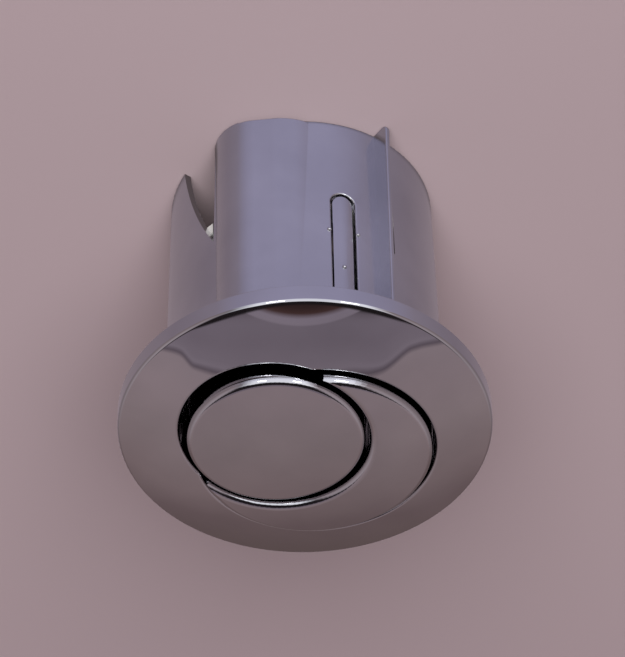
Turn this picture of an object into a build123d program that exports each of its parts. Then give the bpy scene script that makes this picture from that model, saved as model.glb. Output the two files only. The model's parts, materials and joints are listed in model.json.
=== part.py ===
from build123d import *
import math
import os

# Dual-flush push button for a cistern lid: a domed bezel moulded in one with its barrel, a round
# half-flush button and a crescent full-flush button, each on a sprung plunger with an adjustable rod.
# The origin is the middle of the bezel's seat, +Z points out of the face, and +X runs from the
# crescent to the round button. Depths are given as lengths below the seat.

# Bezel
bezel_dia = 73.0
rim_height = 4.0           # straight side of the flange
dome_radius = 98.0         # sphere of the flange's face
bezel_shell = 2.0          # thickness of the domed face and of the rim
rim_round = 0.9            # rounding of the front edge
mouth_round = 0.5          # rounding of the opening's edge
cusp_round = 1.5           # where the opening's two circles meet, in plan

# Barrel
barrel_dia = 54.9          # at the seat
barrel_length = 55.6
barrel_wall = 1.5
barrel_draft = 0.95        # degrees
collar_depth = 5.0         # how far the opening's collar goes below the seat
collar_wall = 1.6

# Lobe column on the barrel's side
lobe_dia = 26.0
lobe_angle = -37.1
lobe_bulge = 0.9           # how far it stands out of the round wall
lobe_corner_dia = 17.0     # tighter rounding towards the notch
lobe_corner_angle = -27.6
lobe_corner_bulge = 1.8
lobe_return = 75.0         # where the column's wall ends inside the barrel, round the tight corner

# Notch between the lobe and the round wall
notch_tip_angle = 10.0     # at the barrel's end
notch_root_angle = -12.5   # beside the lobe
notch_height = 28.0        # from the barrel's end
notch_sag = 1.0            # hollow of its sloping edge

# Fins, slots and windows stand as mirrored pairs
fin_angle = -87.2
fin_height = 3.2
fin_thick = 1.0
fin_round = 1.4
edge_round = 0.3           # barrel's free edges
slot_angle = -70.0
slot_width = 5.0
slot_start = 8.0
slot_end = 35.4
nib_dia = 0.9              # pips on both sides of a slot and on its tongue
nib_depth = 24.8
pip_depth = 15.4
tongue_gap = 0.5           # groove round the springy tongue in a slot
tongue_recess = 0.1        # tongue's face below the barrel's surface, at its tip
tongue_crown = 5.5         # rounding of that face, across
tongue_step = 0.15         # its end is set back
tongue_step_depth = 27.2
window_angle = -91.5
window_width = 2.8
window_height = 11.2

# Buttons
small_offset = 7.1         # round button's middle from the barrel's axis
big_offset = 2.6           # middle of the opening's larger circle, on the other side
small_mouth_gap = 1.65     # round button to the bezel
between_gap = 1.0          # round button to the crescent
crescent_mouth_gap = 0.75  # crescent to the bezel
small_proud = 3.3          # round face's edge above the opening's outer edge
crescent_proud = 1.1       # crescent's outermost edge above the opening's
face_crown = 98.0          # sphere of both buttons' faces
crescent_crown_at = 2.2    # middle of the crescent's crown, towards the round button
button_travel = 7.0
button_top = 2.2           # thickness of a button's face at its edge
button_skirt = 1.5         # thickness of a button's skirt
button_round = 1.3
crescent_tip_cut = 1.6     # its pointed ends are cut off square
retainer_thick = 2.0       # crescent's rim under the collar
leg_thick = 1.8
leg_width = 4.2
leg_tail = 4.6             # guide leg below the slot's end

# Carrier
carrier_inset = 20.3       # its underside from the barrel's end
carrier_thick = 2.5
sleeve_wall = 1.4
lug_width = 2.0
lug_recess = 0.7           # lug's end below the barrel's surface

# Plungers, springs, rods and nuts
small_plunger_dia = 9.0
small_socket_depth = 10.0
small_socket_wall = 1.8
small_wire = 1.2
small_turns = 8
crescent_wire = 1.0
crescent_turns = 6
small_rod_dia = 6.0
small_nut_flats = 10.0
small_nut_height = 4.0
crescent_plunger_wall = 1.5
crescent_nut_height = 3.2
nut_lip = 1.0              # nut past its plunger's sleeve bore
nut_face_inset = 0.25      # round end face of a nut inside its flats
nut_chamfer = 30.0         # degrees, corners of a nut
thread_grip = 18.0         # length of rod inside its plunger
rod_inset = 1.0            # rod's tip inside the barrel's end when pressed
rod_chamfer = 0.8

# Clearances
slide_gap = 0.4            # between parts that move past each other
bore_gap = 0.08            # plunger in its sleeve or socket and carrier in the bore, on the radius
stop_gap = 0.4             # left at the end of a stroke
seat_gap = 0.3             # lock nut under its sleeve
spring_gap = 0.5           # spring to the sleeve inside it

bezel_r = bezel_dia / 2
slope = math.tan(math.radians(barrel_draft))


def wall_radius(depth):
    return barrel_dia / 2 - slope * depth


def bore_radius(depth):
    return wall_radius(depth) - barrel_wall


def dome_height(radius):
    edge = math.sqrt(dome_radius**2 - bezel_r**2)
    return rim_height + math.sqrt(dome_radius**2 - radius**2) - edge


def at(radius, angle, height=0.0):
    turn = math.radians(angle)
    return Vector(radius * math.cos(turn), radius * math.sin(turn), height)


# The opening is two overlapping circles that both reach the bore.
mouth_reach = bore_radius(0)
small_x = small_offset
big_x = -big_offset
small_mouth_r = mouth_reach - small_offset
big_mouth_r = mouth_reach - big_offset
small_r = small_mouth_r - small_mouth_gap
crescent_outer_r = big_mouth_r - crescent_mouth_gap
crescent_inner_r = small_r + between_gap

# Levels, from the face down
small_face = dome_height(mouth_reach) + small_proud
small_seat = small_face - button_top
crescent_face = dome_height(mouth_reach) + crescent_proud
crescent_seat = crescent_face - button_top
ceiling = small_face + small_r  # clear of both faces
retainer_top = -collar_depth - stop_gap
retainer_bottom = retainer_top - retainer_thick
carrier_bottom = carrier_inset - barrel_length
carrier_top = carrier_bottom + carrier_thick
plunger_end = carrier_bottom - seat_gap
rod_tip = button_travel + rod_inset - barrel_length

# Round button's stem, sleeve and spring
small_stem_r = small_plunger_dia / 2
small_bore_r = small_stem_r + bore_gap
small_sleeve_r = small_bore_r + sleeve_wall
small_socket_r = small_stem_r + small_socket_wall
small_socket_bottom = small_seat - small_socket_depth
small_sleeve_top = small_socket_bottom - button_travel - stop_gap
small_coil_r = max(small_sleeve_r, small_socket_r) + spring_gap + small_wire / 2
small_rod_r = small_rod_dia / 2

# Crescent's stem stands midway between the round button's skirt and the bore, and its spring
# fills that room.
room_outer = bore_radius(barrel_length - carrier_inset)
room_inner = small_r - small_x
crescent_x = -(room_outer + room_inner) / 2
crescent_coil_r = (room_outer - room_inner) / 2 - spring_gap - crescent_wire / 2
crescent_sleeve_r = crescent_coil_r - crescent_wire / 2 - spring_gap
crescent_bore_r = crescent_sleeve_r - sleeve_wall
crescent_stem_r = crescent_bore_r - bore_gap
crescent_rod_r = crescent_stem_r - crescent_plunger_wall
crescent_sleeve_top = retainer_bottom - button_travel - stop_gap
crescent_seat_r = crescent_coil_r + crescent_wire / 2

# Guide legs behind the tongues
leg_end = slot_end + leg_tail
leg_outer_r = bore_radius(leg_end + button_travel) - slide_gap
leg_inner_r = leg_outer_r - leg_thick
tongue_crest = wall_radius(slot_end) - tongue_recess

corner_r = lobe_corner_dia / 2
corner_at = at(wall_radius(0) + lobe_corner_bulge - corner_r, lobe_corner_angle)
lobe_at = at(wall_radius(0) + lobe_bulge - lobe_dia / 2, lobe_angle)
lobe_top = dome_height(wall_radius(0) + lobe_corner_bulge)
lobe_end = edge_round - barrel_length


def disc(radius, x, low, high, y=0.0):
    return extrude(Pos(x, y, low) * Circle(radius), high - low)


def tapered(radius_at):
    profile = Polyline(
        (0, 0), (radius_at(0), 0), (radius_at(barrel_length), -barrel_length), (0, -barrel_length), close=True
    )
    return revolve(Plane.XZ * make_face(profile), Axis.Z)


def crown(x, edge, reach, drop):
    # Ball under a button's face, lowered by drop. The face is at the level edge, reach from its middle x.
    middle = edge - math.sqrt(face_crown**2 - reach**2)
    return Pos(x, 0, middle) * Rot(90, 0, 0) * Sphere(face_crown - drop)


def rounded_end(shape):
    return fillet(shape.faces().sort_by(Axis.Z)[0].edges(), edge_round)


def radial_plane(angle, radius, depth):
    outward = at(1, angle)
    return Plane(origin=at(radius, angle, -depth), x_dir=(-outward.Y, outward.X, 0), z_dir=outward)


def mirrored(shape):
    return shape + mirror(shape, Plane.XZ)


def dome_band(inner, outer, drop, low):
    # Solid of revolution under the domed face, lowered by drop.
    sphere = dome_radius - drop
    apex = dome_height(0) - drop
    middle = (inner + outer) / 2

    def level(radius):
        return apex - sphere + math.sqrt(sphere**2 - radius**2)

    outline = [
        Line((inner, low), (outer, low)),
        Line((outer, low), (outer, level(outer))),
        ThreePointArc((outer, level(outer)), (middle, level(middle)), (inner, level(inner))),
        Line((inner, level(inner)), (inner, low)),
    ]
    return make_face(outline)


def mouth(growth):
    outline = Pos(small_x, 0) * Circle(small_mouth_r + growth) + Pos(big_x, 0) * Circle(big_mouth_r + growth)
    return fillet([v for v in outline.vertices() if abs(v.Y) > cusp_round], cusp_round)


def lobe(inset, low, high):
    pair = Pos(lobe_at) * Circle(lobe_dia / 2 - inset) + Pos(corner_at) * Circle(corner_r - inset)
    return extrude(Pos(0, 0, low) * make_hull(pair.edges()), high - low)


def lobe_return_wall():
    # The column's wall goes on inside the barrel past the notch.
    reach = 2 * corner_r
    ends = [corner_at + at(reach, angle) for angle in (lobe_corner_angle, lobe_return / 3, lobe_return)]
    wedge = make_face(Polyline(corner_at, *ends, close=True))
    ring = Pos(corner_at) * (Circle(corner_r) - Circle(corner_r - barrel_wall))
    return extrude(Pos(0, 0, lobe_end) * (ring & wedge), notch_height + barrel_wall - edge_round)


def notch():
    tip = at(wall_radius(barrel_length), notch_tip_angle).Y
    root = at(wall_radius(barrel_length), notch_root_angle).Y
    top = notch_height - barrel_length
    hollow = notch_sag / math.hypot(tip - root, notch_height)
    middle = ((tip + root) / 2 + hollow * notch_height, (top - barrel_length) / 2 + hollow * (tip - root))
    foot = -barrel_length - barrel_wall
    outline = [
        ThreePointArc((tip, -barrel_length), middle, (root, top)),
        Line((root, top), (root, foot)),
        Line((root, foot), (tip, foot)),
        Line((tip, foot), (tip, -barrel_length)),
    ]
    start = wall_radius(barrel_length) / 2
    return extrude(Plane.YZ.offset(start) * make_face(outline), barrel_dia / 2)


def fin():
    outer = wall_radius(0) + fin_height
    inner = wall_radius(barrel_length) - barrel_wall / 2
    top = dome_height(outer) - bezel_shell / 2
    corners = [(inner, top), (outer, top), (outer, -barrel_length), (inner, -barrel_length)]
    blade = make_face(Polyline(*corners, close=True))
    low_corner = blade.vertices().sort_by(Axis.Y)[:2].sort_by(Axis.X)[-1]
    blade = fillet(low_corner, fin_round)
    plane = Plane(origin=(0, 0, 0), x_dir=at(1, fin_angle), z_dir=at(1, fin_angle - 90))
    blade = extrude(plane * blade, fin_thick / 2, both=True)
    crest = [e for e in blade.edges() if math.hypot(e.center().X, e.center().Y) > outer - fin_round]
    crest = [e for e in crest if e.length > fin_thick and e.center().Z < 0]
    return fillet(crest, edge_round)


def slot_outline(width, start, end):
    # Round-ended slot on a plane whose Y runs up the barrel.
    straight = end - width / 2
    outline = Pos(0, -(start + straight) / 2) * Rectangle(width, straight - start)
    return outline + Pos(0, -straight) * Circle(width / 2)


def through_wall(outline):
    reach = wall_radius(0) + fin_height - leg_inner_r
    return extrude(radial_plane(slot_angle, leg_inner_r, 0) * outline, reach)


def slot_groove():
    # Groove that leaves a tongue, joined to the wall at the slot's start.
    width = slot_width - 2 * tongue_gap
    inside = slot_outline(width, slot_start - tongue_gap, slot_end - tongue_gap)
    return through_wall(slot_outline(slot_width, slot_start, slot_end) - inside)


def above_tongue():
    # What is taken off the tongue to leave its rounded face.
    middle = at(tongue_crest - tongue_crown, slot_angle)
    bar = disc(tongue_crown, middle.X, -tongue_step_depth, 0, middle.Y)
    bar += disc(tongue_crown - tongue_step, middle.X, -slot_end, -tongue_step_depth, middle.Y)
    return through_wall(slot_outline(slot_width - tongue_gap, slot_start, slot_end - tongue_gap / 2)) - bar


def on_slot_rim(point):
    depth = -point.Z
    radius = math.hypot(point.X, point.Y)
    sideways = radius * math.sin(math.radians(abs(slot_angle)) - math.atan2(abs(point.Y), point.X))
    beside = abs(abs(sideways) - slot_width / 2) < tongue_gap / 2 and slot_start < depth < slot_end
    at_end = abs(sideways) < tongue_gap and abs(depth - slot_end) < tongue_gap / 2
    return (beside or at_end) and radius > wall_radius(depth) - edge_round


def nibs():
    wall = wall_radius(nib_depth)
    aside = math.degrees((slot_width + nib_dia) / 2 / wall)
    places = [at(wall, slot_angle + turn, -nib_depth) for turn in (-aside, aside)]
    places.append(at(tongue_crest, slot_angle, -pip_depth))
    return [Pos(place) * Sphere(nib_dia / 2) for place in places]


def window():
    middle = -(carrier_bottom + window_height / 2)
    inner = leg_outer_r - barrel_wall
    sheet = radial_plane(window_angle, inner, middle) * Rectangle(window_width, window_height)
    return extrude(sheet, wall_radius(0) + barrel_wall - inner)


def make_bezel_barrel():
    outline = dome_band(0, bezel_r, 0, 0)
    front = outline.vertices().sort_by(Axis.X)[-2:].sort_by(Axis.Y)[-1]
    dome = revolve(Plane.XZ * fillet(front, rim_round), Axis.Z)
    under_flange = dome_band(wall_radius(0), bezel_r - bezel_shell, bezel_shell, -rim_height)
    hollow = revolve(Plane.XZ * under_flange, Axis.Z)
    cavity = revolve(Plane.XZ * dome_band(0, bore_radius(0), bezel_shell, -rim_height), Axis.Z)
    barrel = rounded_end(tapered(wall_radius))
    collar = extrude(Pos(0, 0, -collar_depth) * mouth(collar_wall), collar_depth + ceiling) & (dome + barrel)
    column = rounded_end(lobe(0, lobe_end, lobe_top - bezel_shell / 2))
    room = lobe(barrel_wall, -barrel_length, lobe_top - bezel_shell)
    shell = dome - hollow + (column + barrel) - room - tapered(bore_radius) - cavity
    shell = shell - notch() + lobe_return_wall() + mirrored(fin()) + collar
    shell -= extrude(Pos(0, 0, -barrel_length) * mouth(0), barrel_length + ceiling) & disc(
        bezel_r, 0, -collar_depth, ceiling
    )
    lip_low = dome_height(mouth_reach) - mouth_round
    lip = [e for e in shell.edges() if e.center().Z > lip_low and e.length > small_r]
    lip = [e for e in lip if math.hypot(e.center().X, e.center().Y) < mouth_reach]
    shell = fillet(lip, mouth_round)
    shell -= mirrored(slot_groove())
    slot_rims = [e for e in shell.edges() if e.length > slot_width / 2 and on_slot_rim(e.center())]
    seat_rims = [e for e in shell.edges() if abs(e.center().Z) < edge_round and e.length > math.pi * barrel_dia]
    shell = fillet(slot_rims + seat_rims, edge_round) - mirrored(above_tongue())
    for nib in nibs():
        shell += mirrored(nib)
    return shell - mirrored(window())


def make_small_button():
    cup = disc(small_r, small_x, retainer_bottom, ceiling) & crown(small_x, small_face, small_r, 0)
    cup = fillet(cup.edges().sort_by(Axis.Z)[-1], button_round)
    room = disc(small_r - button_skirt, small_x, retainer_bottom, ceiling)
    room &= crown(small_x, small_face, small_r, button_top)
    room -= disc(small_socket_r, small_x, small_socket_bottom, ceiling)
    room -= disc(small_coil_r + small_wire, small_x, small_seat, ceiling)
    return cup - room - disc(small_bore_r, small_x, small_socket_bottom, small_seat)


def crescent_outline(inset):
    return Pos(big_x, 0) * Circle(crescent_outer_r - inset) - Pos(small_x, 0) * Circle(crescent_inner_r + inset)


def guide_leg():
    strip = radial_plane(slot_angle, leg_inner_r, (leg_end - retainer_top) / 2)
    return extrude(strip * Rectangle(leg_width, leg_end + retainer_top), leg_thick)


def crescent_cap():
    # A disc with a rounded edge, crossed with a plate that has a rounded hole for the round button.
    reach = crescent_outer_r - big_x + crescent_crown_at
    ball = crown(crescent_crown_at, crescent_face, reach, 0)
    cap = disc(crescent_outer_r, big_x, retainer_bottom, ceiling) & ball
    cap = fillet(cap.faces().sort_by(Axis.Z)[-1].edges(), button_round)
    plate = disc(2 * crescent_outer_r, big_x, retainer_bottom, ceiling) & ball
    plate -= disc(crescent_inner_r, small_x, retainer_bottom, ceiling)
    cap &= fillet(plate.faces().sort_by(Axis.Z)[-1].inner_wires()[0].edges(), button_round)
    point_x = (crescent_outer_r**2 - crescent_inner_r**2) / (small_x - big_x) / 2 + (small_x + big_x) / 2
    ends = Rectangle(bezel_dia, bezel_dia, align=(Align.MIN, Align.CENTER))
    cap -= extrude(Pos(point_x - crescent_tip_cut, 0, retainer_bottom) * ends, ceiling - retainer_bottom)
    room = extrude(Pos(0, 0, retainer_bottom) * crescent_outline(button_skirt), ceiling - retainer_bottom)
    room &= crown(crescent_crown_at, crescent_face, reach, button_top)
    return cap - (room - disc(crescent_sleeve_r, crescent_x, retainer_bottom, ceiling))


def make_crescent_button():
    # Rim that stops the crescent under the collar, as far round as the legs.
    rim_r = bore_radius(button_travel - retainer_bottom) - slide_gap
    span = 360 + 2 * slot_angle + 2 * math.degrees(leg_width / 2 / leg_inner_r)
    sector = make_face(
        [
            CenterArc((0, 0), rim_r, 180 - span / 2, span),
            Line(at(rim_r, 180 + span / 2), (0, 0)),
            Line((0, 0), at(rim_r, 180 - span / 2)),
        ]
    )
    rim = sector - Pos(big_x, 0) * Circle(crescent_outer_r - button_skirt)
    rim -= Pos(small_x, 0) * Circle(crescent_inner_r)
    seat = Pos(crescent_x, 0) * Circle(crescent_seat_r) & sector - Pos(small_x, 0) * Circle(crescent_inner_r)
    rim = extrude(Pos(0, 0, retainer_bottom) * rim, retainer_thick)
    seat = extrude(Pos(0, 0, retainer_bottom) * seat, retainer_thick)
    bore = disc(crescent_bore_r, crescent_x, retainer_bottom, crescent_seat)
    return crescent_cap() + rim + seat + mirrored(guide_leg()) - bore


def make_plunger(radius, x, rod_r, high):
    stem = disc(radius, x, plunger_end, high)
    return stem - disc(rod_r, x, plunger_end, plunger_end + thread_grip)


def make_spring(coil_r, wire, turns, x, low, high):
    rise = high - low - wire
    path = Helix(pitch=rise / turns, height=rise, radius=coil_r)
    section = Plane(origin=path @ 0, z_dir=path % 0) * Circle(wire / 2)
    coil = Pos(x, 0, low + wire / 2) * sweep(section, path=path)
    # Ground ends: the wire is cut flush with both seats.
    return coil & disc(coil_r + wire, x, low, high)


def make_carrier():
    plate = Circle(room_outer - bore_gap)
    for angle in (slot_angle, -slot_angle):
        cut = Rectangle(
            leg_width + 2 * slide_gap, 2 * leg_thick + 2 * slide_gap, align=(Align.CENTER, Align.MIN)
        )
        plate -= Pos(at(leg_inner_r - slide_gap, angle)) * Rot(0, 0, angle - 90) * cut
    column = Pos(corner_at) * Circle(corner_r + slide_gap)
    plate -= column - Pos(small_x, 0) * Circle(small_coil_r + small_wire)
    body = extrude(Pos(0, 0, carrier_bottom) * plate, carrier_thick)
    for angle in (window_angle, -window_angle):
        side = radial_plane(angle, room_inner, -(carrier_bottom + carrier_thick / 2))
        lug = side * Rectangle(lug_width, carrier_thick)
        body += extrude(lug, wall_radius(-carrier_bottom) - lug_recess - room_inner)
    body += disc(small_sleeve_r, small_x, carrier_bottom, small_sleeve_top)
    body += disc(crescent_sleeve_r, crescent_x, carrier_bottom, crescent_sleeve_top)
    body -= disc(small_bore_r, small_x, carrier_bottom, small_sleeve_top)
    return body - disc(crescent_bore_r, crescent_x, carrier_bottom, crescent_sleeve_top)


def make_rod(radius, x):
    rod = disc(radius, x, rod_tip, plunger_end + thread_grip)
    return chamfer(rod.edges().sort_by(Axis.Z)[0], min(rod_chamfer, radius / 2))


def make_nut(flats, rod_r, x, height):
    low = plunger_end - height
    hexagon = extrude(Pos(0, 0, low) * RegularPolygon(flats / 2, 6, major_radius=False), height)
    face_r = flats / 2 - nut_face_inset
    corner = flats / math.sqrt(3)
    drop = (corner - face_r) * math.tan(math.radians(nut_chamfer))
    half = [(rod_r, low), (face_r, low), (corner, low + drop)]
    turned = Polyline(*half, *[(r, low + plunger_end - z) for r, z in reversed(half)], close=True)
    return Pos(x, 0, 0) * (hexagon & revolve(Plane.XZ * make_face(turned), Axis.Z))


crescent_nut_flats = 2 * (crescent_bore_r + nut_lip)

pieces = {
    "bezel_barrel": make_bezel_barrel(),
    "small_button": make_small_button(),
    "crescent_button": make_crescent_button(),
    "spring_carrier": make_carrier(),
    "small_plunger": make_plunger(small_stem_r, small_x, small_rod_r, small_seat),
    "crescent_plunger": make_plunger(crescent_stem_r, crescent_x, crescent_rod_r, crescent_seat),
    "small_spring": make_spring(small_coil_r, small_wire, small_turns, small_x, carrier_top, small_seat),
    "crescent_spring": make_spring(
        crescent_coil_r, crescent_wire, crescent_turns, crescent_x, carrier_top, retainer_bottom
    ),
    "small_push_rod": make_rod(small_rod_r, small_x),
    "crescent_push_rod": make_rod(crescent_rod_r, crescent_x),
    "small_lock_nut": make_nut(small_nut_flats, small_rod_r, small_x, small_nut_height),
    "crescent_lock_nut": make_nut(crescent_nut_flats, crescent_rod_r, crescent_x, crescent_nut_height),
}

os.makedirs("parts", exist_ok=True)
for name, piece in pieces.items():
    export_step(piece, f"parts/{name}.step")
    print(name, len(piece.solids()), round(piece.volume))
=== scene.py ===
import bpy
import bmesh
import json
import math
from mathutils import Matrix, Vector


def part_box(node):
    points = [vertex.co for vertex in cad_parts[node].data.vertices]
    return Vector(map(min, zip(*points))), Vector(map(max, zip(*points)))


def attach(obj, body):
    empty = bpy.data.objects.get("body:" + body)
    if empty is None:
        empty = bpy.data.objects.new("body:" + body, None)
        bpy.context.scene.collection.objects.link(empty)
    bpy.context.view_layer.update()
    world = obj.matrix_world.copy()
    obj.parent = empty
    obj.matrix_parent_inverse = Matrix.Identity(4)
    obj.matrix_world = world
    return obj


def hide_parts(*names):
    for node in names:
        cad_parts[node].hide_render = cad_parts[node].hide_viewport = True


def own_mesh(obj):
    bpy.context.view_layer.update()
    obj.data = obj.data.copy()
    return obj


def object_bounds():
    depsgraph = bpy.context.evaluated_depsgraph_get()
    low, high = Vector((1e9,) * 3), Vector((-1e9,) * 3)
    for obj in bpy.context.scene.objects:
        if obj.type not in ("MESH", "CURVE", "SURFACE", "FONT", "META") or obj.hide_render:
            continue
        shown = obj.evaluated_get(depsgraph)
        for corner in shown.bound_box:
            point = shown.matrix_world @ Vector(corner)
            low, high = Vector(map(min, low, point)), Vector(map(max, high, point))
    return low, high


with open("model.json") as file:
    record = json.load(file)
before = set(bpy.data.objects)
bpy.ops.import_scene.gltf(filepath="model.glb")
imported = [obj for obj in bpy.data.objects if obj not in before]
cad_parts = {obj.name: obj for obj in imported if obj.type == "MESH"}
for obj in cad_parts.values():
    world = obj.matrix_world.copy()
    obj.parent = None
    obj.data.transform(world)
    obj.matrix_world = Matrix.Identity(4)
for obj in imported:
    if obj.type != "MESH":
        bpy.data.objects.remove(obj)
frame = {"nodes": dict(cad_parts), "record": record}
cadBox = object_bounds()       # box of the solids alone
nodes = frame["nodes"]
scene = bpy.context.scene
scene.view_settings.view_transform = "Standard"
print("frame loaded,", len(nodes), "nodes")

# camera, as the picture was taken: face towards us, barrel pointing up the frame
cameraView = {
    "place": (0.35308, -0.45491, 0.52698),
    "turn": (-46.286, -0.828, -142.792),   # degrees
    "lens": 219.2,
    "clip": (0.01, 20),
}
cameraData = bpy.data.cameras.new("camera")
cameraData.lens = cameraView["lens"]
cameraData.clip_start, cameraData.clip_end = cameraView["clip"]
camera = bpy.data.objects.new("camera", cameraData)
camera.location = cameraView["place"]
camera.rotation_euler = [math.radians(angle) for angle in cameraView["turn"]]
scene.collection.objects.link(camera)
scene.camera = camera
print("camera set")


# small helpers for node trees
def newNode(tree, kind, **settings):
    node = tree.nodes.new(kind)
    for key, value in settings.items():
        setattr(node, key, value)
    return node


# an input takes a link from another node, or a plain number, vector or colour
def feed(tree, entry, value):
    if isinstance(value, bpy.types.NodeSocket):
        tree.links.new(value, entry)
    else:
        entry.default_value = value


def newMaterial(name):
    material = bpy.data.materials.new(name)
    material.use_nodes = True
    tree = material.node_tree
    return material, tree, tree.nodes["Principled BSDF"]


def objectCoords(tree, stretch=(1, 1, 1)):
    coords = newNode(tree, "ShaderNodeTexCoord")
    mapping = newNode(tree, "ShaderNodeMapping")
    feed(tree, mapping.inputs["Scale"], stretch)
    feed(tree, mapping.inputs["Vector"], coords.outputs["Object"])
    return mapping.outputs["Vector"]


def noise(tree, vector, scale, detail, roughness=0.5):
    made = newNode(tree, "ShaderNodeTexNoise")
    feed(tree, made.inputs["Scale"], scale)
    feed(tree, made.inputs["Detail"], detail)
    feed(tree, made.inputs["Roughness"], roughness)
    feed(tree, made.inputs["Vector"], vector)
    return made.outputs["Fac"]


# noise keeps mostly between 0.3 and 0.7, so that is the usual span to start from
def spread(tree, value, low, high, fromLow=0.3, fromHigh=0.7):
    made = newNode(tree, "ShaderNodeMapRange")
    feed(tree, made.inputs["Value"], value)
    feed(tree, made.inputs["From Min"], fromLow)
    feed(tree, made.inputs["From Max"], fromHigh)
    feed(tree, made.inputs["To Min"], low)
    feed(tree, made.inputs["To Max"], high)
    return made.outputs["Result"]


def share(tree, value, fromLow, fromHigh):
    return spread(tree, value, 0.0, 1.0, fromLow, fromHigh)


def ramp(tree, value, stops):
    made = newNode(tree, "ShaderNodeValToRGB")
    elements = made.color_ramp.elements
    while len(elements) < len(stops):
        elements.new(0.5)
    for element, (place, colour) in zip(elements, stops):
        element.position = place
        element.color = (*colour, 1)
    feed(tree, made.inputs["Fac"], value)
    return made.outputs["Color"]


def twoTone(tree, value, finish):
    darkAt, lightAt = finish["toneFrom"]
    return ramp(tree, value, [(darkAt, finish["dark"]), (lightAt, finish["light"])])


def bump(tree, shader, height, deep, distance):
    made = newNode(tree, "ShaderNodeBump")
    feed(tree, made.inputs["Height"], height)
    feed(tree, made.inputs["Strength"], deep)
    feed(tree, made.inputs["Distance"], distance)
    feed(tree, shader.inputs["Normal"], made.outputs["Normal"])
    return made


def vectorMath(tree, operation, first, second=None, output="Vector"):
    made = newNode(tree, "ShaderNodeVectorMath", operation=operation)
    feed(tree, made.inputs[0], first)
    if second is not None:
        feed(tree, made.inputs[1], second)
    return made.outputs[output]


def numberMath(tree, operation, first, second=None):
    made = newNode(tree, "ShaderNodeMath", operation=operation)
    feed(tree, made.inputs[0], first)
    if second is not None:
        feed(tree, made.inputs[1], second)
    return made.outputs["Value"]


# numbers of a Mix node's two inputs and its output, for each kind
mixEntries = {"FLOAT": (2, 3, 0), "VECTOR": (4, 5, 1), "RGBA": (6, 7, 2)}


def mix(tree, kind, factor, first, second):
    made = newNode(tree, "ShaderNodeMix", data_type=kind)
    firstAt, secondAt, outAt = mixEntries[kind]
    feed(tree, made.inputs["Factor"], factor)
    feed(tree, made.inputs[firstAt], first)
    feed(tree, made.inputs[secondAt], second)
    return made.outputs[outAt]


# slope of the bezel's dome and rounded rim, so that reflections run clean along them
rimForm = {
    "domeRadius": 0.098,
    "edgeHeight": 0.004,          # where dome and wall would meet without the rounding
    "rounding": 0.0009,
    "domeSkin": 0.0004,           # what lies this near the dome's sphere is its outer face
    "wallSkin": 0.0005,           # and this near the rim's radius is its outer wall
    "low": 0.0005,                # height above which the wall is on show
    "blend": (0.0280, 0.0295),    # radius from which the worked-out slope takes over
}
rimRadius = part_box("bezel_barrel")[1].x
domeLow = rimForm["edgeHeight"] - math.sqrt(rimForm["domeRadius"] ** 2 - rimRadius ** 2)
roundRadius = rimRadius - rimForm["rounding"]       # ring that the rounding runs round
innerDome = rimForm["domeRadius"] - rimForm["rounding"]
roundHigh = domeLow + math.sqrt(innerDome ** 2 - roundRadius ** 2)
roundFrom = roundRadius * rimForm["domeRadius"] / innerDome


def rimSlope(tree, place, height):
    plan = vectorMath(tree, "MULTIPLY", place, (1, 1, 0))
    radius = vectorMath(tree, "LENGTH", plan, output="Value")
    outward = vectorMath(tree, "NORMALIZE", plan)
    ring = vectorMath(tree, "MULTIPLY", outward, (roundRadius, roundRadius, 0))
    ring = vectorMath(tree, "ADD", ring, (0, 0, roundHigh))
    rounded = vectorMath(tree, "SUBTRACT", place, ring)
    rounded = vectorMath(tree, "MAXIMUM", rounded, (-1, -1, 0))     # level along the straight wall
    rounded = vectorMath(tree, "NORMALIZE", rounded)
    fromMiddle = vectorMath(tree, "SUBTRACT", place, (0, 0, domeLow))
    far = vectorMath(tree, "LENGTH", fromMiddle, output="Value")
    domed = vectorMath(tree, "NORMALIZE", fromMiddle)
    slope = mix(tree, "VECTOR", numberMath(tree, "GREATER_THAN", radius, roundFrom), domed, rounded)

    onDome = numberMath(tree, "GREATER_THAN", far, rimForm["domeRadius"] - rimForm["domeSkin"])
    onWall = numberMath(tree, "GREATER_THAN", radius, rimRadius - rimForm["wallSkin"])
    skin = numberMath(tree, "MAXIMUM", onDome, onWall)
    skin = numberMath(tree, "MULTIPLY", skin, numberMath(tree, "GREATER_THAN", height, rimForm["low"]))
    skin = numberMath(tree, "MULTIPLY", skin, share(tree, radius, *rimForm["blend"]))
    given = newNode(tree, "ShaderNodeNewGeometry").outputs["Normal"]
    return vectorMath(tree, "NORMALIZE", mix(tree, "VECTOR", skin, given, slope))


# chrome plate: bright on the face, satin on the moulded barrel
chromePlate = {
    "dark": (0.63, 0.63, 0.65),
    "light": (0.70, 0.70, 0.72),
    "toneFrom": (0.35, 0.65),         # noise at which it is dark and light
    "faceGloss": (0.015, 0.035),      # roughness, clean to smeared
    "barrelGloss": (0.15, 0.24),
    "faceFrom": (-0.0012, -0.0004),   # height at which barrel gives way to face
    "smear": 55.0,                    # noise scale of the wiped patches
    "smearDetail": 4.0,
    "streak": 900.0,
    "streakDetail": 2.0,
    "streakStretch": (1, 1, 0.02),    # drawn out along the barrel
    "streakDeep": 0.03,
    "streakHeight": 0.0002,
}


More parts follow.
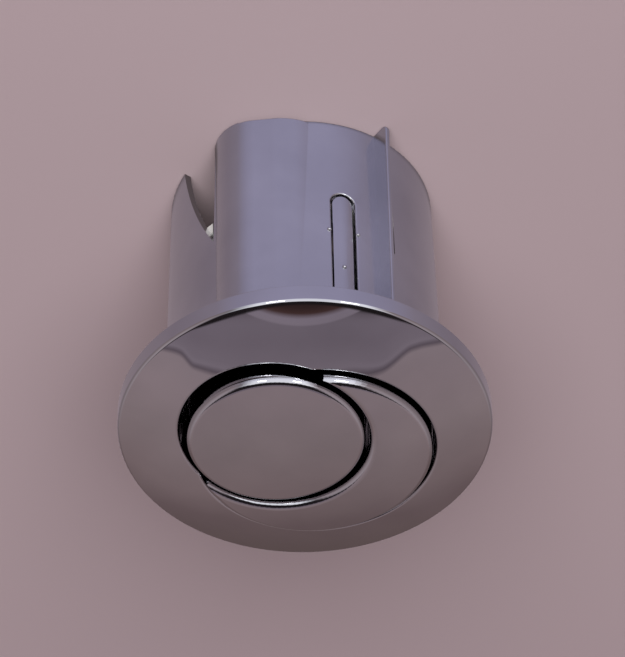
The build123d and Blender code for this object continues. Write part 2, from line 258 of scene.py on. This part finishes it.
def makeChrome():
    material, tree, shader = newMaterial("chromePlate")
    vector = objectCoords(tree)
    axes = newNode(tree, "ShaderNodeSeparateXYZ")
    feed(tree, axes.inputs["Vector"], vector)
    height = axes.outputs["Z"]
    patches = noise(tree, vector, chromePlate["smear"], chromePlate["smearDetail"])
    faceRough = spread(tree, patches, *chromePlate["faceGloss"])
    barrelRough = spread(tree, patches, *chromePlate["barrelGloss"])
    onFace = share(tree, height, *chromePlate["faceFrom"])
    feed(tree, shader.inputs["Roughness"], mix(tree, "FLOAT", onFace, barrelRough, faceRough))
    feed(tree, shader.inputs["Base Color"], twoTone(tree, patches, chromePlate))
    shader.inputs["Metallic"].default_value = 1.0
    drawnOut = objectCoords(tree, chromePlate["streakStretch"])
    streaks = noise(tree, drawnOut, chromePlate["streak"], chromePlate["streakDetail"])
    deep = spread(tree, height, chromePlate["streakDeep"], 0.0, *chromePlate["faceFrom"])
    grain = bump(tree, shader, streaks, deep, chromePlate["streakHeight"])
    feed(tree, grain.inputs["Normal"], rimSlope(tree, vector, height))
    return material


# white acetal of the carrier and the plungers
acetal = {
    "dark": (0.57, 0.565, 0.53),
    "light": (0.66, 0.655, 0.62),
    "toneFrom": (0.3, 0.7),
    "gloss": (0.38, 0.52),
    "cloud": 120.0,
    "cloudDetail": 4.0,
    "milky": 0.08,                    # share of the light that goes into it
    "milkyReach": (0.001, 0.001, 0.001),
    "grain": 1800.0,
    "grainDetail": 2.0,
    "grainDeep": 0.08,
    "grainHeight": 0.0001,
}


def makeAcetal():
    material, tree, shader = newMaterial("acetal")
    vector = objectCoords(tree)
    clouds = noise(tree, vector, acetal["cloud"], acetal["cloudDetail"])
    feed(tree, shader.inputs["Base Color"], twoTone(tree, clouds, acetal))
    feed(tree, shader.inputs["Roughness"], spread(tree, clouds, *acetal["gloss"]))
    shader.inputs["Subsurface Weight"].default_value = acetal["milky"]
    shader.inputs["Subsurface Radius"].default_value = acetal["milkyReach"]
    grain = noise(tree, vector, acetal["grain"], acetal["grainDetail"])
    bump(tree, shader, grain, acetal["grainDeep"], acetal["grainHeight"])
    return material


# drawn spring wire
springWire = {
    "dark": (0.42, 0.42, 0.43),
    "light": (0.62, 0.62, 0.63),
    "toneFrom": (0.3, 0.7),
    "gloss": (0.24, 0.42),
    "grain": 700.0,
    "grainDetail": 5.0,
    "grainCoarse": 0.7,
    "grainDeep": 0.06,
    "grainHeight": 0.0001,
}


def makeSpringWire():
    material, tree, shader = newMaterial("springWire")
    vector = objectCoords(tree)
    grain = noise(tree, vector, springWire["grain"], springWire["grainDetail"], springWire["grainCoarse"])
    feed(tree, shader.inputs["Base Color"], twoTone(tree, grain, springWire))
    feed(tree, shader.inputs["Roughness"], spread(tree, grain, *springWire["gloss"]))
    shader.inputs["Metallic"].default_value = 1.0
    bump(tree, shader, grain, springWire["grainDeep"], springWire["grainHeight"])
    return material


# turned brass of the rods and nuts
turnedBrass = {
    "dark": (0.52, 0.38, 0.17),
    "light": (0.80, 0.62, 0.30),
    "toneFrom": (0.32, 0.62),
    "gloss": (0.22, 0.40),
    "tarnish": 160.0,
    "tarnishDetail": 5.0,
    "tarnishCoarse": 0.6,
    "rings": 2600.0,                  # tool marks along the axis
    "ringWander": 1.5,
    "ringDetail": 2.0,
    "ringDeep": 0.05,
    "ringHeight": 0.00005,
}


def makeBrass():
    material, tree, shader = newMaterial("turnedBrass")
    vector = objectCoords(tree)
    tarnish = noise(tree, vector, turnedBrass["tarnish"], turnedBrass["tarnishDetail"],
                    turnedBrass["tarnishCoarse"])
    feed(tree, shader.inputs["Base Color"], twoTone(tree, tarnish, turnedBrass))
    feed(tree, shader.inputs["Roughness"], spread(tree, tarnish, *turnedBrass["gloss"]))
    shader.inputs["Metallic"].default_value = 1.0
    rings = newNode(tree, "ShaderNodeTexWave", wave_type="BANDS", bands_direction="Z")
    feed(tree, rings.inputs["Scale"], turnedBrass["rings"])
    feed(tree, rings.inputs["Distortion"], turnedBrass["ringWander"])
    feed(tree, rings.inputs["Detail"], turnedBrass["ringDetail"])
    feed(tree, rings.inputs["Vector"], vector)
    bump(tree, shader, rings.outputs["Fac"], turnedBrass["ringDeep"], turnedBrass["ringHeight"])
    return material


finishes = {
    "chrome_plate": makeChrome(),
    "white_plastic": makeAcetal(),
    "spring_steel": makeSpringWire(),
    "brass": makeBrass(),
}
for subpart in frame["record"]["subparts"]:
    node = nodes[subpart["node"]]
    node.material_slots[0].material = finishes[subpart["material_slot"]]
print("finishes on,", len(finishes))

# how rods and springs are cut to length and shaded
pieceFinish = {
    "cutNear": 0.001,     # share of the pitch or the wire that counts as on the cut
    "sharpFrom": 35,      # degrees between faces
}


def trimEnds(shape, low, high, size):
    for level, outwards in ((low.z, -1), (high.z, 1)):
        everything = shape.verts[:] + shape.edges[:] + shape.faces[:]
        cut = bmesh.ops.bisect_plane(shape, geom=everything, dist=pieceFinish["cutNear"] * size,
                                     plane_co=(0, 0, level), plane_no=(0, 0, outwards), clear_outer=True)
        cutEdges = [part for part in cut["geom_cut"] if isinstance(part, bmesh.types.BMEdge)]
        bmesh.ops.holes_fill(shape, edges=cutEdges)


def finishPiece(name, shape, node, body, slot):
    bmesh.ops.recalc_face_normals(shape, faces=shape.faces)
    for edge in shape.edges:
        edge.smooth = edge.is_manifold and edge.calc_face_angle() < math.radians(pieceFinish["sharpFrom"])
    for face in shape.faces:
        face.smooth = True
    mesh = bpy.data.meshes.new(name)
    shape.to_mesh(mesh)
    shape.free()
    mesh.materials.append(finishes[slot])
    piece = bpy.data.objects.new(name, mesh)
    scene.collection.objects.link(piece)
    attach(piece, body)
    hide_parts(node)
    return piece


def middleOf(low, high):
    return Vector(((low.x + high.x) / 2, (low.y + high.y) / 2, 0))


# push rods with their threads, in place of the plain rods
pushRods = {
    "small_push_rod": {"name": "smallThreadedRod", "body": "round_button", "pitch": 0.0010},
    "crescent_push_rod": {"name": "crescentThreadedRod", "body": "crescent", "pitch": 0.0008},
}
threadForm = {
    "steps": 28,            # round one turn
    "depth": 0.61,          # depth, root and crest in pitches
    "root": 0.22,
    "crest": 0.16,
    "startBelow": 1.6,      # pitches below the tip, so that the cut meets a full thread
    "spareTurns": 3,
    "mergeNear": 0.01,      # in pitches
    "chamfer": 0.0008,
}


def threadedRod(node, pitch):
    low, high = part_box(node)
    middle = middleOf(low, high)
    radius = (high.x - low.x) / 2
    deep = radius - threadForm["depth"] * pitch
    root = threadForm["root"]
    flank = (1 - root - threadForm["crest"]) / 2
    # one pitch, from root to root
    outline = [(deep, 0), (deep, root), (radius, root + flank), (radius, 1 - flank), (deep, 1)]
    start = low.z - threadForm["startBelow"] * pitch
    turns = math.ceil((high.z - low.z) / pitch) + threadForm["spareTurns"]
    shape = bmesh.new()
    corners = [shape.verts.new((middle.x + reach, middle.y, start + up * pitch)) for reach, up in outline]
    edges = [shape.edges.new(pair) for pair in zip(corners, corners[1:])]
    bmesh.ops.spin(shape, geom=corners + edges, cent=middle, axis=(0, 0, 1), angle=2 * math.pi * turns,
                   dvec=(0, 0, pitch / threadForm["steps"]), steps=threadForm["steps"] * turns)
    bmesh.ops.remove_doubles(shape, verts=shape.verts, dist=threadForm["mergeNear"] * pitch)
    trimEnds(shape, low, high, pitch)
    for vert in shape.verts:      # chamfered tip
        reach = vert.co.xy - middle.xy
        most = radius - threadForm["chamfer"] + vert.co.z - low.z
        if reach.length > most:
            vert.co.xy = middle.xy + reach * (most / reach.length)
    return shape


for node, rod in pushRods.items():
    finishPiece(rod["name"], threadedRod(node, rod["pitch"]), node, rod["body"], "brass")
print("rods threaded,", len(pushRods))

# return springs with closed, ground ends
returnSprings = {
    "small_spring": {
        "name": "smallReturnSpring",
        "joint": "small_press",
        "wire": 0.0012,
        "turns": 8,
    },
    "crescent_spring": {
        "name": "crescentReturnSpring",
        "joint": "crescent_press",
        "wire": 0.0010,
        "turns": 6,
    },
}
coilForm = {
    "sides": 10,            # of the wire
    "steps": 40,            # round one turn
    "ground": 0.3,          # wires ground off each end
    "closed": 1.02,         # pitch of the end turns, in wires
    "stroke": 0.007,
}


def coilSpring(low, high, wire, turns):
    middle = middleOf(low, high)
    reach = (high.x - low.x - wire) / 2
    ground = coilForm["ground"] * wire
    lowest = low.z + wire / 2 - ground
    rise = high.z - low.z - wire + 2 * ground
    endPitch = coilForm["closed"] * wire
    openTurns = turns - 2
    openPitch = (rise - 2 * endPitch) / openTurns
    shape = bmesh.new()
    bmesh.ops.create_circle(shape, segments=coilForm["sides"], radius=wire / 2)
    bmesh.ops.rotate(shape, verts=shape.verts, matrix=Matrix.Rotation(math.pi / 2, 3, "X"))
    bmesh.ops.translate(shape, verts=shape.verts, vec=(middle.x + reach, middle.y, lowest))
    ring = shape.verts[:] + shape.edges[:]
    for count, pitch in ((1, endPitch), (openTurns, openPitch), (1, endPitch)):
        steps = coilForm["steps"] * count
        wound = bmesh.ops.spin(shape, geom=ring, cent=middle, axis=(0, 0, 1), angle=2 * math.pi * count,
                               dvec=(0, 0, pitch * count / steps), steps=steps)
        ring = wound["geom_last"]
    bmesh.ops.holes_fill(shape, edges=[edge for edge in shape.edges if edge.is_boundary])
    trimEnds(shape, low, high, wire)
    return shape


for node, spring in returnSprings.items():
    low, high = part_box(node)
    shape = coilSpring(low, high, spring["wire"], spring["turns"])
    coil = finishPiece(spring["name"], shape, node, "housing", "spring_steel")
    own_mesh(coil)
print("springs wound,", len(returnSprings))

# studio: tones of the room round the part, by degrees from straight up towards its front,
# or from side to side by the sine of the angle to the right
toFront = (0.616, -0.788, 0.0)              # level way to the side that the picture was taken from
toRight = (toFront[1], -toFront[0], 0.0)    # level way to the picture's right
room = {
    "backdrop": [
        (-180, (0.20, 0.15, 0.155)),
        (-92, (0.135, 0.096, 0.094)),
        (-75, (0.160, 0.113, 0.117)),
        (-64, (0.220, 0.162, 0.167)),
        (-46, (0.258, 0.199, 0.208)),
        (-30, (0.276, 0.213, 0.230)),
        (-20.0, (0.266, 0.209, 0.228)),
        (-19.8, (0.110, 0.085, 0.105)),     # its bound edge
        (-19.5, (0.120, 0.094, 0.114)),
        (-19.2, (0.232, 0.190, 0.226)),
        (-17.5, (0.198, 0.161, 0.193)),
        (-12, (0.180, 0.145, 0.176)),
        (-6, (0.190, 0.155, 0.188)),
        (-4, (0.150, 0.120, 0.145)),
    ],
    # how far down the bound edge hangs, from side to side
    "hang": [
        (-0.5, 0.5),
        (-0.42, 0.34),
        (-0.37, 1.0),
        (-0.15, 0.36),
        (0.02, 0.27),
        (0.16, 0.44),
        (0.27, 0.86),
        (0.37, 0.0),
        (0.5, 0.4),
    ],
    "hangs": 4.1,             # degrees where hang is 1
    "ceiling": [(-2.4, (0.018, 0.014, 0.016)), (40, (0.012, 0.010, 0.012))],
    "window": [
        (48, (0.95, 0.95, 1.0)),
        (112, (0.86, 0.86, 0.96)),
        (132, (0.36, 0.34, 0.48)),
        (180, (0.30, 0.26, 0.34)),
    ],
    # beside the window
    "curtain": [
        (48, (0.06, 0.055, 0.065)),
        (112, (0.10, 0.09, 0.10)),
        (132, (0.20, 0.17, 0.20)),
        (180, (0.28, 0.24, 0.30)),
    ],
    "windowWide": [(-0.62, 0.10), (-0.38, 1.0), (0.75, 1.0), (0.95, 0.3)],
    # round doorway over the backdrop, and the dark room behind it
    "doorway": [
        (-9.0, (0.182, 0.147, 0.177)),
        (-8.6, (0.250, 0.205, 0.248)),
        (-6.3, (0.250, 0.205, 0.252)),
        (-5.9, (0.070, 0.036, 0.034)),
        (-3.6, (0.030, 0.018, 0.018)),
    ],
    "doorwayEdge": 0.3,
    "doorwayBend": 60.0,      # degrees that its arch would fall at the far sides
    "beam": (-3.5, -3.0),     # dark edge of the ceiling, level with the rim all along
    "beamBend": 66.0,
    "beamTone": (0.014, 0.011, 0.012),
    # pale walls at both sides, by height
    "sideWalls": [(0.0, (0.20, 0.16, 0.17)), (0.45, (0.30, 0.25, 0.27)), (1.0, (0.40, 0.35, 0.38))],
    "sideWallsFrom": (0.55, 0.74),
    "flanks": 0.18,           # a little more light from the two sides
    "flanksFrom": (0.2, 0.6),
    "seen": (0.37, 0.29, 0.305),      # plain tone that the camera meets past the floor
}


def along(tree, vector, line):
    return vectorMath(tree, "DOT_PRODUCT", vector, line, output="Value")


def byAngle(tree, angle, stops):
    wholeTurn = share(tree, angle, -math.pi, math.pi)
    return ramp(tree, wholeTurn, [((degrees + 180) / 360, colour) for degrees, colour in stops])


def bySide(tree, side, stops):
    return ramp(tree, share(tree, side, -1.0, 1.0), [((place + 1) / 2, colour) for place, colour in stops])


def greys(stops):
    return [(place, (tone, tone, tone)) for place, tone in stops]


# turns a share of 0 to 1 into an angle
def bend(tree, value, degrees):
    return spread(tree, value, 0.0, math.radians(degrees), 0.0, 1.0)


def paintWalls(tree, upward, frontward, rightward):
    turn = numberMath(tree, "ARCTAN2", frontward, upward)
    hang = bySide(tree, rightward, greys(room["hang"]))
    hang.node.color_ramp.interpolation = "CARDINAL"
    hung = numberMath(tree, "ADD", turn, bend(tree, hang, room["hangs"]))
    lit = byAngle(tree, hung, room["backdrop"] + room["ceiling"] + room["window"])
    dim = byAngle(tree, hung, room["backdrop"] + room["ceiling"] + room["curtain"])
    walls = mix(tree, "RGBA", bySide(tree, rightward, greys(room["windowWide"])), dim, lit)

    # doorway and beam curve with the square of the way to the side
    atBack = numberMath(tree, "LESS_THAN", turn, 0.0)
    sideSquare = numberMath(tree, "MULTIPLY", rightward, rightward)
    arch = numberMath(tree, "SUBTRACT", turn, bend(tree, sideSquare, room["doorwayBend"]))
    archFrom = math.radians(room["doorway"][0][0])
    inArch = share(tree, arch, archFrom, archFrom + math.radians(room["doorwayEdge"]))
    inArch = numberMath(tree, "MULTIPLY", inArch, atBack)
    walls = mix(tree, "RGBA", inArch, walls, byAngle(tree, arch, room["doorway"]))
    beam = numberMath(tree, "ADD", turn, bend(tree, sideSquare, room["beamBend"]))
    beam = share(tree, beam, *[math.radians(degrees) for degrees in room["beam"]])
    beam = numberMath(tree, "MULTIPLY", beam, atBack)
    walls = mix(tree, "RGBA", beam, walls, (*room["beamTone"], 1))

    aside = numberMath(tree, "ABSOLUTE", rightward)
    atSides = share(tree, aside, *room["sideWallsFrom"])
    return mix(tree, "RGBA", atSides, walls, ramp(tree, upward, room["sideWalls"])), aside


# pale floor under the barrel's end; the plating sees a painted reflection of it in the room instead,
# bluish on the window's side, and a painted contact shadow near the barrel's end
floorCloth = {
    "size": 4.0,
    "squares": 8,
    "clear": 0.0002,
    "colour": (0.40, 0.311, 0.328),
    "roughness": 0.9,
    "shine": 0.1,
    "brightest": (0.486, -0.875, 0.0),      # level way to the window's light on the cloth
    "mirrored": [
        (-0.9, (0.29, 0.23, 0.26)),
        (-0.1, (0.247, 0.20, 0.243)),
        (0.44, (0.267, 0.225, 0.282)),
        (0.67, (0.297, 0.267, 0.369)),
        (0.96, (0.36, 0.337, 0.48)),
    ],
    "horizon": (-0.50, -0.20),      # height at which the room gives way to it
    "foot": (0.0262, 0.0275),       # the plating sees a painted contact shadow in the floor this near the barrel's end
    "footShade": (0.11, 0.085, 0.09),
}


def makeFloorCloth():
    material, tree, shader = newMaterial("floorCloth")
    shader.inputs["Base Color"].default_value = (*floorCloth["colour"], 1)
    shader.inputs["Roughness"].default_value = floorCloth["roughness"]
    shader.inputs["Specular IOR Level"].default_value = floorCloth["shine"]
    fromAxis = vectorMath(tree, "LENGTH", objectCoords(tree, (1, 1, 0)), output="Value")
    # painted contact shadow: a dark glow that only glossy rays meet in the floor near the barrel's end
    footShade = newNode(tree, "ShaderNodeEmission")
    footShade.inputs["Color"].default_value = (*floorCloth["footShade"], 1)
    clear = newNode(tree, "ShaderNodeBsdfTransparent")
    mirrored = newNode(tree, "ShaderNodeMixShader")
    feed(tree, mirrored.inputs["Fac"], share(tree, fromAxis, *floorCloth["foot"]))
    feed(tree, mirrored.inputs[1], footShade.outputs["Emission"])
    feed(tree, mirrored.inputs[2], clear.outputs["BSDF"])
    whole = newNode(tree, "ShaderNodeMixShader")
    feed(tree, whole.inputs["Fac"], newNode(tree, "ShaderNodeLightPath").outputs["Is Glossy Ray"])
    feed(tree, whole.inputs[1], shader.outputs["BSDF"])
    feed(tree, whole.inputs[2], mirrored.outputs["Shader"])
    feed(tree, tree.nodes["Material Output"].inputs["Surface"], whole.outputs["Shader"])
    return material


def paintFloor(tree, direction):
    level = vectorMath(tree, "NORMALIZE", vectorMath(tree, "MULTIPLY", direction, (1, 1, 0)))
    return bySide(tree, along(tree, level, floorCloth["brightest"]), floorCloth["mirrored"])


shape = bmesh.new()
bmesh.ops.create_grid(shape, x_segments=floorCloth["squares"], y_segments=floorCloth["squares"],
                      size=floorCloth["size"] / 2)
bmesh.ops.translate(shape, verts=shape.verts, vec=(0, 0, cadBox[0].z - floorCloth["clear"]))
floorMesh = bpy.data.meshes.new("floor")
shape.to_mesh(floorMesh)
shape.free()
floorMesh.materials.append(makeFloorCloth())
floor = bpy.data.objects.new("floor", floorMesh)
scene.collection.objects.link(floor)
print("floor laid")

world = bpy.data.worlds.new("room")
world.use_nodes = True
scene.world = world
worldTree = world.node_tree
background = worldTree.nodes["Background"]
direction = newNode(worldTree, "ShaderNodeTexCoord").outputs["Generated"]
upward = along(worldTree, direction, (0, 0, 1))
frontward = along(worldTree, direction, toFront)
rightward = along(worldTree, direction, toRight)
walls, aside = paintWalls(worldTree, upward, frontward, rightward)
aboveFloor = share(worldTree, upward, *floorCloth["horizon"])
surroundings = mix(worldTree, "RGBA", aboveFloor, paintFloor(worldTree, direction), walls)
byCamera = newNode(worldTree, "ShaderNodeLightPath").outputs["Is Camera Ray"]
feed(worldTree, background.inputs["Color"],
     mix(worldTree, "RGBA", byCamera, surroundings, (*room["seen"], 1)))
flanks = spread(worldTree, aside, 0.0, room["flanks"], *room["flanksFrom"])
flanks = numberMath(worldTree, "MULTIPLY", flanks, aboveFloor)
feed(worldTree, background.inputs["Strength"], numberMath(worldTree, "ADD", flanks, 1.0))
print("room painted")

# one broad key, and two small lamps that only show as glints
lamps = {
    "key": {"from": (0.476, -0.655, 0.588), "far": 1.8, "size": 1.3, "power": 44.5, "diffuse": True},
    "glintLeft": {"from": (0.77, -0.60, 0.20), "far": 1.2, "size": 0.2, "power": 0.8, "diffuse": False},
    "glintRight": {"from": (0.22, -0.95, 0.20), "far": 1.2, "size": 0.2, "power": 0.8, "diffuse": False},
}
for name, lamp in lamps.items():
    lampData = bpy.data.lights.new(name, "AREA")
    lampData.size = lamp["size"]
    lampData.energy = lamp["power"]
    lampObject = bpy.data.objects.new(name, lampData)
    outwards = Vector(lamp["from"]).normalized()
    lampObject.location = outwards * lamp["far"]
    lampObject.rotation_euler = outwards.to_track_quat("Z", "Y").to_euler()
    lampObject.visible_diffuse = lamp["diffuse"]
    lampObject.visible_glossy = not lamp["diffuse"]
    scene.collection.objects.link(lampObject)
print("studio set,", len(lamps), "lamps")
